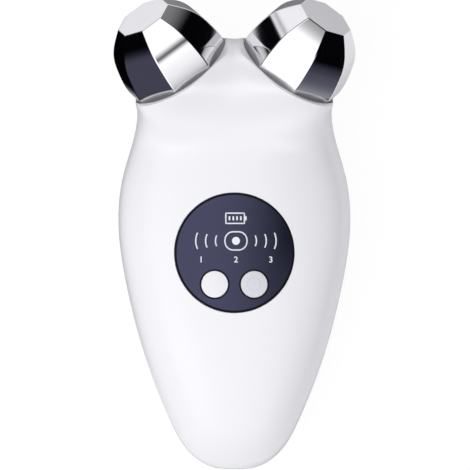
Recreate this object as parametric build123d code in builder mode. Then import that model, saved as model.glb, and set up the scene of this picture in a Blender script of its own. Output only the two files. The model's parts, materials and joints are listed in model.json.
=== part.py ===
from build123d import *
from math import asin, cos, degrees, hypot, pi, radians, sin, sqrt
import os

os.makedirs("parts", exist_ok=True)

# Facial toning device. It lies on its back: +Z out of the control panel, +Y from the tip to the rollers,
# +X to the right of someone who looks at the panel. Millimetres. The origin is the middle of the
# footprint, on the resting plane.

# ---- overall form -----------------------------------------------------------------------------------
tip_y = -62.52              # y of the tip; stations along the body are measured from it
spine_z = 14.0              # height of the body's parting line
bend_start = 80.0           # station where the neck begins to lean forward
bend_radius = 40.0
head_tilt = 31.0            # degrees the head leans forward
wall = 2.0
joint_step = 1.0            # the parting line's tongue begins this deep in the wall
seam_gap = 0.16             # width of the visible groove along the parting line
tongue_height = 1.2
band_share = 0.75           # of the bend's radius, reached by the solids that part the shells
tongue_clearance = 0.1

# body cross-sections: station, half width, front depth, back depth, flatness of the faces, of the sides
body_sections = [
    (0.0, 2.6, 1.4, 1.4, 0.60, 0.60),
    (0.9, 6.5, 3.5, 3.5, 0.60, 0.60),
    (3.0, 10.2, 5.8, 5.8, 0.62, 0.62),
    (7.0, 13.9, 8.5, 8.2, 0.63, 0.63),
    (13.0, 17.1, 11.0, 10.6, 0.66, 0.65),
    (22.0, 20.9, 13.6, 12.9, 0.69, 0.67),
    (34.0, 25.0, 15.8, 14.2, 0.72, 0.70),
    (50.0, 28.9, 17.0, 14.6, 0.74, 0.73),
    (66.0, 30.9, 17.2, 14.7, 0.74, 0.73),
    (78.0, 29.7, 16.6, 14.8, 0.70, 0.76),
    (88.0, 26.9, 15.7, 15.2, 0.60, 0.90),
    (98.0, 26.0, 15.2, 14.9, 0.60, 1.26),
]
# head cross-sections: level over the rim's middle, half width, depth at the waist, and the share of each
# quarter curve at which it meets the rim of the bowl
head_sections = [
    (-5.0, 27.0, 15.2, 0.62),
    (-1.0, 26.0, 15.3, 0.46),
    (3.0, 21.0, 14.0, 0.40),
    (6.5, 14.0, 9.6, 0.28),
]
top_section = (8.3, 10.0, 5.2, 5.2, 0.34, 1.9)
saddle_reach = 34.3         # from the bend's start to the bottom of the notch between the two bowls
saddle_radius = 9.5

# ---- roller axes and bowls --------------------------------------------------------------------------
roller_x = 18.0
roller_reach = 31.0         # from the bend's start to the rollers' centres
roller_splay = 30.4         # degrees each axle leans outwards, within the head's middle plane
rim_drop = 4.8              # from the roller's centre down its axle to the bowl's rim
bowl_clearance = 0.3        # between the bowl and the roller's back corners
rim_clearance = 0.25        # between the rim's bore and the roller's widest corners
lip_width = 1.25
lip_round = 0.4             # on the rim's inner edge
lip_depth = 0.36            # from the rim to where that round begins, less than its radius
bowl_wall = 1.6

# ---- rollers: places along the axle are measured from the roller's centre, + outwards ---------------
facet_count = 8
facet_turn = 22.5           # degrees from the head's middle plane to the middle of a facet
end_flat = (12.1, 7.05)     # place and inradius of the flat end
hub_front = 7.0             # place where the hub's flange seats in the shell
facet_profile = [(hub_front, 11.25), (1.0, 13.2), (-2.0, 13.65), (-5.0, 13.75), (-8.0, 13.1)]
back_edge = (-10.4, 11.6)
shell_wall = 0.9
hub_radius = 4.6
hub_back = -9.4
hub_flange = 1.2
hub_flange_clearance = 0.05
base_ring_thickness = 1.2
base_ring_clearance = 0.05

axle_radius = 1.5
axle_front = 9.2
axle_back = -26.6
running_fit = 0.03          # radial, between axle and bushes
bush_radius = 2.6
bush_length = 3.0
bush_flange_radius = 3.6
bush_flange = 0.7
end_play = 0.1
collar_radius = 2.6
collar_length = 1.0
clip_radius = 3.2
clip_thickness = 0.6
groove_depth = 0.35
seal_radius = 3.1
seal_thickness = 1.0
seal_fit = 0.02
axle_hole_clearance = 0.5

# ---- roller bracket, in the head's middle plane -----------------------------------------------------
socket_radius = 4.2
socket_gap = 0.2            # from the back of the bowl's wall
socket_length = 4.8
bracket_depth = 9.8         # its plate's back face, behind the middle plane
bracket_plate = 1.8
bracket_half_width = 14.0
bracket_low = -19.0         # levels over the rim's middle
bracket_high = -11.4
bracket_screw_inset = (1.9, 2.0)    # from the plate's sides and its lower edge to the outer screws
bracket_screw_drop = 1.8            # from its upper edge to the middle one
terminal_thickness = 0.4
terminal_radius = 3.0
terminal_tab = (2.2, 5.2)
nut_flats = 5.5
nut_thickness = 2.4

# ---- control panel ----------------------------------------------------------------------------------
panel_station = 57.8
lens_radius = 15.8
lens_clearance = 0.1
lens_seat_z = 28.2          # floor of the recess
gasket_thickness = 0.2
gasket_width = 1.6
seat_floor = 1.6
seat_wall = 1.8
window_border = 4.1         # round the lit window
window_gap = 1.2            # between the lit window's lower edge and the buttons
shield_clearance = 0.2
diffuser_thickness = 0.3
diffuser_gap = 0.1

button_x = 5.2
button_inset = 7.5          # from the window's edge to a button's centre, below the panel's centre
button_radius = 3.5
button_top_z = 31.25
button_dome = 0.25
button_gap = 0.15           # in the window
button_guide_gap = 0.25     # in the seat's floor
button_flange_radius = 4.1
button_flange = 0.8
button_flange_gap = 0.1
button_stem_radius = 1.6
button_travel = 0.35

# ---- board and what it carries ----------------------------------------------------------------------
usb_width = 8.94
usb_height = 3.26
usb_length = 7.3
usb_mouth = 0.7             # station of its mouth
usb_wall = 0.3
usb_opening_gap = 0.17
port_depth = 8.0            # how far the port's opening is cut, from outside the tip
usb_tongue_size = (6.7, 0.7, 5.6)
board_thickness = 1.6
board_outline = [(3.4, 6.5), (13.0, 6.5), (23.0, 15.0), (76.0, 15.0)]    # station, half width
board_screws_at = [(-12.0, 29.5), (12.0, 29.5), (-12.0, 72.5), (12.0, 72.5)]
board_post_radius = 2.4
switch_side = 6.0
switch_height = 3.5
plunger_radius = 1.7
plunger_top = 7.0           # over the board
plunger_well = 1.1
led = (1.6, 0.8, 0.6)
led_well = (2.2, 1.6)
led_spots = [(-1.4, 9.1), (1.4, 9.1), (0.0, 3.1), (-8.7, -2.1), (0.0, -2.1), (8.7, -2.1),
             (-4.8, 3.1), (4.8, 3.1), (-7.3, 3.1), (7.3, 3.1), (-9.8, 3.1), (9.8, 3.1)]
controller = (6.0, 6.0, 0.9)
controller_station = 71.0
coil_radius = 3.6
coil_height = 3.4
coil_station = 18.0
battery = (17.0, 37.0, 6.4)
battery_station = 46.5
battery_z = 3.6
battery_round = 1.2
battery_gap = 0.3
battery_rib = 1.2
battery_rib_height = 3.4    # over the battery's underside
pad = (14.0, 20.0)
pad_station = 51.0
pad_bottom_z = 1.95
lead_radius = 0.45
lead_station = 73.5         # soldered end, on the board
lead_turn_reach = 2.0       # from the bend's start
lead_bend = 6.0
battery_lead_x = 2.0
battery_lead_z = 8.0
battery_lead_out = 2.2
battery_lead_bend = 1.6

# ---- fasteners --------------------------------------------------------------------------------------
housing_screws_at = [(-11.9, 50.8), (11.9, 50.8)]
tower_radius = 2.6
tower_top = 20.0
screw_length = 14.0
screw_radius = 1.1
screw_head_radius = 1.9
screw_head = 1.3
screw_hole_gap = 0.15
small_screw_radius = 0.9
small_screw_head_radius = 1.7
small_screw_head = 1.1
small_screw_length = 5.5
pilot_inset = 0.15          # pilot holes are this much smaller than the screw, on the radius
bracket_post_radius = 2.4
bracket_pilot = 1.6
bracket_corner = 2.0
foot_half = 3.0
post_gap = 0.1
plunger_gap = 0.1
coil_flange = 0.7
coil_waist = 0.8
axle_chamfer = 0.4
seal_recess = 0.1
tongue_reach = 12.0         # from the bend's start to the tongue's end, short of the bowls

tilt = radians(head_tilt)
splay = radians(roller_splay)
bend_end = bend_start + bend_radius * tilt
reach = 2 * max(row[1] for row in body_sections)        # longer than any cut or post
band_reach = band_share * bend_radius                   # deeper than either shell


def at(station):
    return tip_y + station


def spine_plane(station):
    """Plane square to the spine: x across the body, y towards the back, z along the spine."""
    angle = min(max((station - bend_start) / bend_radius, 0.0), tilt)
    beyond = max(station - bend_end, 0.0)
    along = min(station, bend_start) + bend_radius * sin(angle) + beyond * cos(angle)
    height = spine_z + bend_radius * (1 - cos(angle)) + beyond * sin(angle)
    return Plane(origin=(0, at(along), height), x_dir=(1, 0, 0), z_dir=(0, cos(angle), sin(angle)))


axis_dir = Vector(sin(splay), cos(splay) * cos(tilt), cos(splay) * sin(tilt))
rim_x = roller_x - rim_drop * axis_dir.X
rim_y = at(bend_start + roller_reach) - rim_drop * axis_dir.Y
rim_station = bend_end + (rim_y - spine_plane(bend_end).origin.Y) / cos(tilt)
rim_centre = spine_plane(rim_station).origin + Vector(rim_x, 0, 0)
roller_centre = rim_centre + axis_dir * rim_drop
far_station = rim_station + 3 * top_section[0]
corner_ratio = 1 / cos(pi / facet_count)
roller_corners = [(place, radius * corner_ratio) for place, radius in (*facet_profile, back_edge)]
bowl_radius = max(hypot(*corner) for corner in roller_corners) + bowl_clearance
rim_bore = max(radius for place, radius in roller_corners) + rim_clearance
lip_radius = rim_bore + lip_width
socket_front = -bowl_radius - bowl_wall - socket_gap
socket_back = socket_front - socket_length
window_radius = lens_radius - window_border
outer_screw_x = bracket_half_width - bracket_screw_inset[0]
outer_screw_level = bracket_low + bracket_screw_inset[1]
bracket_screws_at = [(-outer_screw_x, outer_screw_level), (outer_screw_x, outer_screw_level),
                     (0.0, bracket_high - bracket_screw_drop)]


def roller_plane(side, place=0.0):
    """Plane square to a roller's axle; x lies in the head's middle plane, z points outwards."""
    axis = Vector(side * axis_dir.X, axis_dir.Y, axis_dir.Z)
    middle = Vector(side * roller_centre.X, roller_centre.Y, roller_centre.Z)
    across = Vector(side * cos(splay), -sin(splay) * cos(tilt), -sin(splay) * sin(tilt))
    return Plane(origin=middle + axis * place, x_dir=across, z_dir=axis)


def axle_section(side, turn=0.0):
    """Plane that holds a roller's axle: x is the distance from the axle, y the place along it."""
    base = roller_plane(side)
    across = base.x_dir.rotate(Axis((0, 0, 0), base.z_dir), turn)
    return Plane(origin=base.origin, x_dir=across, z_dir=across.cross(base.z_dir))


def section_sizes(half_width, front, back, flat, full, inset):
    """Half width and depths of a body section, with the handles of its quarter curves."""
    width = half_width - inset
    return width, front - inset, back - inset, flat * width, full * (front - inset), full * (back - inset)


def head_sizes(level, half_width, depth, share, inset):
    """A head section, whose lobes pass through the bowl's rim at this level."""
    along_rim = -level / sin(splay)
    meet_x = rim_x + along_rim * cos(splay)
    meet_depth = sqrt(lip_radius**2 - along_rim**2) - inset
    width = half_width - inset
    waist = depth - inset
    near = 3 * (1 - share) ** 2 * share
    far = 3 * (1 - share) * share**2
    across = (meet_x - (far + share**3) * width) / near
    side = (meet_depth - ((1 - share) ** 3 + near) * waist) / far
    return width, waist, waist, across, side, side


def spine_sections(inset, first, last):
    """Planes and sizes of the body's sections, each drawn in by the inset."""
    rows = [(spine_plane(row[0]), section_sizes(*row[1:], inset)) for row in body_sections]
    rows += [(spine_plane(rim_station + row[0]), head_sizes(*row, inset)) for row in head_sections]
    rows.append((spine_plane(rim_station + top_section[0]), section_sizes(*top_section[1:], inset)))
    return rows[first:last]


def skin(inset, first=0, last=None):
    """Solid body of the housing's outer form, drawn in by the inset."""
    with BuildPart() as form:
        for plane, (w, f, b, across, side_f, side_b) in spine_sections(inset, first, last):
            with BuildSketch(plane):
                with BuildLine():
                    Bezier((-w, 0), (-w, -side_f), (-across, -f), (0, -f))
                    Bezier((0, -f), (across, -f), (w, -side_f), (w, 0))
                    Bezier((w, 0), (w, side_b), (across, b), (0, b))
                    Bezier((0, b), (-across, b), (-w, side_b), (-w, 0))
                make_face()
        loft()
    return form.part


def parting_band(low, high):
    """Solid between two heights over the parting surface, past both ends of the body."""
    with BuildPart() as band:
        with BuildSketch(Plane.YZ):
            with BuildLine():
                ends = []
                for height in (low, high):
                    straight = Line((at(-wall), spine_z + height), (at(bend_start), spine_z + height))
                    arc = JernArc(straight @ 1, straight % 1, bend_radius - height, head_tilt)
                    run = Line(arc @ 1, arc @ 1 + (arc % 1) * (far_station - bend_end))
                    ends.append((straight @ 0, run @ 1))
                Line(ends[0][0], ends[1][0])
                Line(ends[0][1], ends[1][1])
            make_face()
        extrude(amount=reach, both=True)
    return band.part


def axle_line(side):
    return Axis(roller_plane(side).origin, roller_plane(side).z_dir)


def finish(sub_part, name):
    sub_part.part.label = name
    export_step(sub_part.part, f"parts/{name}.step")


def spots(pairs):
    return [(x, at(station)) for x, station in pairs]


# heights over the resting plane that follow from the sizes above
board_bottom = spine_z + usb_height / 2
board_top = board_bottom + board_thickness
lens_bottom = lens_seat_z + gasket_thickness
seat_bottom = lens_seat_z - seat_floor
plunger_top_z = board_top + plunger_top
switch_top = board_top + switch_height
panel_y = at(panel_station)
button_y = panel_y - lens_radius + button_inset
window_low = button_y - panel_y + button_radius + window_gap
sides = {"left": -1, "right": 1}

# ---- housing ----------------------------------------------------------------------------------------
outer = skin(0.0)
wall_middle = skin(joint_step, first=1)
tongue_form = skin(joint_step + tongue_clearance, first=1)

with BuildPart() as cavity:
    add(skin(wall, first=2, last=-3))
    for side in sides.values():
        with Locations(roller_plane(side).origin):
            Sphere(bowl_radius + bowl_wall, mode=Mode.SUBTRACT)

# both shells in one and not yet hollow: resting flat, rims, saddle notch, bowls, axle holes and port
with BuildPart() as block:
    add(outer)
    split(bisect_by=Plane.XY, keep=Keep.TOP)
    for side in sides.values():
        split(bisect_by=roller_plane(side, -rim_drop), keep=Keep.BOTTOM)
    with BuildSketch():
        with Locations((0, at(bend_start + saddle_reach) + saddle_radius)):
            Circle(saddle_radius)
    extrude(amount=reach, mode=Mode.SUBTRACT)
    for side in sides.values():
        with BuildSketch(axle_section(side)):
            with BuildLine():
                CenterArc((0, 0), bowl_radius, -90, degrees(asin(rim_bore / bowl_radius)))
                rim_edge = (rim_bore, -rim_drop - lip_depth)
                Line((rim_bore, -sqrt(bowl_radius**2 - rim_bore**2)), rim_edge)
                flare = JernArc(rim_edge, (0, 1), lip_round, -90)
                Polyline(flare @ 1, (rim_bore + lip_round, bowl_radius), (0, bowl_radius), (0, -bowl_radius))
            make_face()
        revolve(axis=axle_line(side), mode=Mode.SUBTRACT)
        with BuildSketch(roller_plane(side, -bowl_radius - seal_thickness)):
            Circle(seal_radius)
        extrude(amount=bowl_radius, mode=Mode.SUBTRACT)
        with BuildSketch(roller_plane(side, -bowl_radius - 2 * bowl_wall)):
            Circle(axle_radius + axle_hole_clearance)
        extrude(amount=bowl_radius, mode=Mode.SUBTRACT)
    with BuildSketch(Plane(origin=(0, at(-wall), spine_z), x_dir=(1, 0, 0), z_dir=(0, 1, 0))):
        SlotOverall(usb_width + 2 * usb_opening_gap, usb_height + 2 * usb_opening_gap)
    extrude(amount=port_depth, mode=Mode.SUBTRACT)

# what reaches down from the front wall: board posts, screw towers and the seat of the window
with BuildPart() as front_posts:
    with BuildSketch(Plane.XY.offset(board_top)):
        with Locations(spots(board_screws_at)):
            Circle(board_post_radius)
    extrude(amount=reach)
    with BuildSketch(Plane.XY.offset(tower_top + post_gap)):
        with Locations(spots(housing_screws_at)):
            Circle(tower_radius)
    extrude(amount=reach)
    with BuildSketch(Plane.XY.offset(seat_bottom)):
        with Locations((0, panel_y)):
            Circle(lens_radius + seat_wall)
    extrude(amount=reach)
    add(wall_middle, mode=Mode.INTERSECT)

with BuildPart() as front_housing:
    add(block.part)
    add(parting_band(seam_gap, band_reach), mode=Mode.INTERSECT)
    with BuildPart(mode=Mode.PRIVATE) as groove:
        add(parting_band(0, tongue_height + tongue_clearance))
        split(bisect_by=spine_plane(bend_start + tongue_reach), keep=Keep.BOTTOM)
        add(wall_middle, mode=Mode.INTERSECT)
    add(groove.part, mode=Mode.SUBTRACT)
    add(cavity.part - front_posts.part, mode=Mode.SUBTRACT)
    with BuildSketch(Plane.XY.offset(lens_seat_z)):
        with Locations((0, panel_y)):
            Circle(lens_radius + lens_clearance)
    extrude(amount=reach, mode=Mode.SUBTRACT)
    with BuildSketch(Plane.XY.offset(seat_bottom)) as window:
        with Locations((0, panel_y)):
            Circle(window_radius)
            with Locations((0, window_low - window_radius)):
                Rectangle(2 * window_radius, 2 * window_radius, mode=Mode.SUBTRACT)
        with Locations((-button_x, button_y), (button_x, button_y)):
            Circle(button_radius + button_guide_gap)
    extrude(amount=seat_floor, mode=Mode.SUBTRACT)
    with Locations([(x, at(station), lens_seat_z) for x, station in housing_screws_at]):
        CounterBoreHole(screw_radius + screw_hole_gap, screw_head_radius + screw_hole_gap,
                        screw_head + screw_hole_gap, depth=lens_seat_z - tower_top)
    with Locations([Location((x, at(station), board_top), (180, 0, 0)) for x, station in board_screws_at]):
        Hole(small_screw_radius - pilot_inset, depth=small_screw_length)
finish(front_housing, "front_housing")

# what stands on the rear wall: screw towers, battery ribs and the bracket's posts
head_plane = Plane(origin=rim_centre - Vector(rim_x, 0, 0), x_dir=(1, 0, 0),
                   z_dir=(0, -sin(tilt), cos(tilt)))
bracket_back = head_plane.offset(-bracket_depth)
with BuildPart() as rear_posts:
    with BuildSketch():
        with Locations(spots(housing_screws_at)):
            Circle(tower_radius)
    extrude(amount=tower_top)
    with BuildSketch():
        for end in (-1, 1):
            rib_y = at(battery_station) + end * (battery[1] + battery_rib + battery_gap) / 2
            with Locations((0, rib_y + end * battery_gap / 2)):
                Rectangle(battery[0], battery_rib)
    extrude(amount=battery_z + battery_rib_height)
    with BuildSketch(bracket_back):
        with Locations(bracket_screws_at):
            Circle(bracket_post_radius)
    extrude(amount=-reach)
    add(wall_middle, mode=Mode.INTERSECT)

with BuildPart() as rear_housing:
    add(block.part)
    add(parting_band(-band_reach, 0), mode=Mode.INTERSECT)
    with BuildPart(mode=Mode.PRIVATE) as tongue:
        add(parting_band(-tongue_height, tongue_height))
        split(bisect_by=spine_plane(bend_start + tongue_reach - tongue_clearance), keep=Keep.BOTTOM)
        add(tongue_form, mode=Mode.INTERSECT)
    add([tongue.part, rear_posts.part])
    add(cavity.part - rear_posts.part, mode=Mode.SUBTRACT)
    with BuildSketch(Plane(origin=(0, at(-wall), spine_z), x_dir=(1, 0, 0), z_dir=(0, 1, 0))):
        SlotOverall(usb_width + 2 * usb_opening_gap, usb_height + 2 * usb_opening_gap)
    extrude(amount=port_depth, mode=Mode.SUBTRACT)
    with Locations([(x, at(station), tower_top) for x, station in housing_screws_at]):
        Hole(screw_radius - pilot_inset, depth=screw_length - (lens_seat_z - seat_bottom))
    with Locations([bracket_back.location * Location((x, y, 0)) for x, y in bracket_screws_at]):
        Hole(small_screw_radius - pilot_inset, depth=bracket_pilot)
finish(rear_housing, "rear_housing")

# ---- window -----------------------------------------------------------------------------------------
with BuildPart() as panel_gasket:
    with BuildSketch(Plane.XY.offset(lens_seat_z)):
        with Locations((0, panel_y)):
            Circle(lens_radius)
            Circle(lens_radius - gasket_width, mode=Mode.SUBTRACT)
    extrude(amount=gasket_thickness)
finish(panel_gasket, "panel_gasket")

with BuildPart() as panel_lens:
    with BuildSketch(Plane.XY.offset(lens_bottom)):
        with Locations((0, panel_y)):
            Circle(lens_radius)
        with Locations((-button_x, button_y), (button_x, button_y)):
            Circle(button_radius + button_gap, mode=Mode.SUBTRACT)
    extrude(amount=reach)
    add(outer, mode=Mode.INTERSECT)
finish(panel_lens, "panel_lens")

with BuildPart() as light_shield:
    with BuildSketch(Plane.XY.offset(board_top)) as shield_outline:
        with Locations((0, panel_y)):
            Circle(window_radius - shield_clearance)
            with Locations((0, window_low + shield_clearance - window_radius)):
                Rectangle(2 * window_radius, 2 * window_radius, mode=Mode.SUBTRACT)
    extrude(amount=lens_bottom - diffuser_gap - diffuser_thickness - board_top)
    with BuildSketch(Plane.XY.offset(board_top)):
        with Locations([(x, panel_y + y) for x, y in led_spots]):
            Rectangle(led_well[0], led_well[1])
    extrude(amount=reach, mode=Mode.SUBTRACT)
finish(light_shield, "light_shield")

with BuildPart() as diffuser:
    with BuildSketch(Plane.XY.offset(lens_bottom - diffuser_gap - diffuser_thickness)):
        add(shield_outline.sketch)
    extrude(amount=diffuser_thickness)
finish(diffuser, "diffuser")

# ---- buttons, each a cap that rides on its switch's plunger ------------------------------------------
for name, x in (("mode", -button_x), ("power", button_x)):
    middle = Plane(origin=(x, button_y, 0), x_dir=(1, 0, 0), z_dir=(0, -1, 0))
    with BuildPart() as keycap:
        with BuildSketch(middle):
            with BuildLine():
                flange_top = seat_bottom - button_flange_gap
                dome_radius = (button_radius**2 + button_dome**2) / (2 * button_dome)
                dome = JernArc((0, button_top_z), (1, 0), dome_radius,
                               -degrees(asin(button_radius / dome_radius)))
                Polyline(dome @ 1, (button_radius, flange_top), (button_flange_radius, flange_top),
                         (button_flange_radius, flange_top - button_flange),
                         (button_stem_radius, flange_top - button_flange),
                         (button_stem_radius, plunger_top_z), (0, plunger_top_z), (0, button_top_z))
            make_face()
        revolve(axis=Axis((x, button_y, 0), (0, 0, 1)))
    finish(keycap, f"{name}_keycap")
    with BuildPart() as plunger:
        with BuildSketch(Plane.XY.offset(switch_top - plunger_well + button_travel + post_gap)):
            with Locations((x, button_y)):
                Circle(plunger_radius)
        extrude(amount=plunger_top_z - (switch_top - plunger_well + button_travel + post_gap))
    finish(plunger, f"{name}_plunger")
    with BuildPart() as switch:
        with BuildSketch(Plane.XY.offset(board_top)):
            with Locations((x, button_y)):
                Rectangle(switch_side, switch_side)
        extrude(amount=switch_height)
        with Locations((x, button_y, switch_top)):
            Hole(plunger_radius + plunger_gap, depth=plunger_well)
    finish(switch, f"{name}_switch")

# ---- board ------------------------------------------------------------------------------------------
with BuildPart() as main_board:
    with BuildSketch(Plane.XY.offset(board_bottom)):
        with BuildLine():
            right = [(half, at(station)) for station, half in board_outline]
            left = [(-half, y) for half, y in reversed(right)]
            Polyline(*right, *left, close=True)
        make_face()
        with Locations(spots(housing_screws_at)):
            Circle(tower_radius + post_gap, mode=Mode.SUBTRACT)
        with Locations(spots(board_screws_at)):
            Circle(small_screw_radius + screw_hole_gap, mode=Mode.SUBTRACT)
    extrude(amount=board_thickness)
finish(main_board, "main_board")

with BuildPart() as status_leds:
    with BuildSketch(Plane.XY.offset(board_top)):
        with Locations([(x, panel_y + y) for x, y in led_spots]):
            Rectangle(led[0], led[1])
    extrude(amount=led[2])
finish(status_leds, "status_leds")

with BuildPart() as microcontroller:
    with BuildSketch(Plane.XY.offset(board_bottom)):
        with Locations((0, at(controller_station))):
            Rectangle(controller[0], controller[1])
    extrude(amount=-controller[2])
finish(microcontroller, "microcontroller")

with BuildPart() as boost_coil:
    with BuildSketch(Plane.XY.offset(board_bottom)):
        with Locations((0, at(coil_station))):
            Circle(coil_radius)
    extrude(amount=-coil_height)
    with BuildSketch(Plane.XY.offset(board_bottom - coil_flange)):
        with Locations((0, at(coil_station))):
            Circle(coil_radius)
            Circle(coil_radius - coil_waist, mode=Mode.SUBTRACT)
    extrude(amount=-(coil_height - 2 * coil_flange), mode=Mode.SUBTRACT)
finish(boost_coil, "boost_coil")

port_plane = Plane(origin=(0, at(usb_mouth), spine_z), x_dir=(1, 0, 0), z_dir=(0, 1, 0))
with BuildPart() as usb_socket:
    with BuildSketch(port_plane):
        SlotOverall(usb_width, usb_height)
    extrude(amount=usb_length)
    with BuildSketch(port_plane):
        SlotOverall(usb_width - 2 * usb_wall, usb_height - 2 * usb_wall)
    extrude(amount=usb_length - usb_wall, mode=Mode.SUBTRACT)
finish(usb_socket, "usb_socket")

with BuildPart() as usb_tongue:
    with BuildSketch(port_plane.offset(usb_length - usb_wall)):
        Rectangle(usb_tongue_size[0], usb_tongue_size[1])
    extrude(amount=-usb_tongue_size[2])
finish(usb_tongue, "usb_tongue")

# ---- battery ----------------------------------------------------------------------------------------
with BuildPart() as battery_cell:
    with BuildSketch(Plane.XY.offset(battery_z)):
        with Locations((0, at(battery_station))):
            Rectangle(battery[0], battery[1])
    extrude(amount=battery[2])
    fillet(battery_cell.edges().filter_by(Axis.Y), radius=battery_round)
finish(battery_cell, "battery_cell")

with BuildPart() as battery_pad:
    with BuildSketch(Plane.XY.offset(pad_bottom_z)):
        with Locations((0, at(pad_station))):
            Rectangle(pad[0], pad[1])
    extrude(amount=battery_z - pad_bottom_z)
finish(battery_pad, "battery_pad")

with BuildPart() as battery_leads:
    cell_end = at(battery_station) + battery[1] / 2
    for x in (-battery_lead_x, battery_lead_x):
        with BuildLine() as route:
            FilletPolyline((x, cell_end, battery_lead_z), (x, cell_end + battery_lead_out, battery_lead_z),
                           (x, cell_end + battery_lead_out, board_bottom), radius=battery_lead_bend)
        with BuildSketch(Plane(origin=route.line @ 0, z_dir=route.line % 0)):
            Circle(lead_radius)
        sweep(path=route.line)
finish(battery_leads, "battery_leads")

# ---- roller bracket, axles and their fixings ---------------------------------------------------------
with BuildPart() as roller_bracket:
    with BuildSketch(bracket_back):
        with Locations((0, (bracket_low + bracket_high) / 2)):
            RectangleRounded(2 * bracket_half_width, bracket_high - bracket_low, bracket_corner)
        with Locations(bracket_screws_at):
            Circle(small_screw_radius + screw_hole_gap, mode=Mode.SUBTRACT)
    extrude(amount=bracket_plate)
    for side in sides.values():
        with BuildSketch(roller_plane(side, socket_front)):
            Circle(socket_radius)
            with Locations((0, side * bracket_depth / 2)):
                Rectangle(2 * foot_half, bracket_depth - bracket_plate / 2)
        extrude(amount=socket_back - socket_front)
    for side in sides.values():
        with BuildSketch(roller_plane(side, socket_front)):
            Circle(axle_radius + seal_fit)
        extrude(amount=socket_back - socket_front, mode=Mode.SUBTRACT)
finish(roller_bracket, "roller_bracket")

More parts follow.
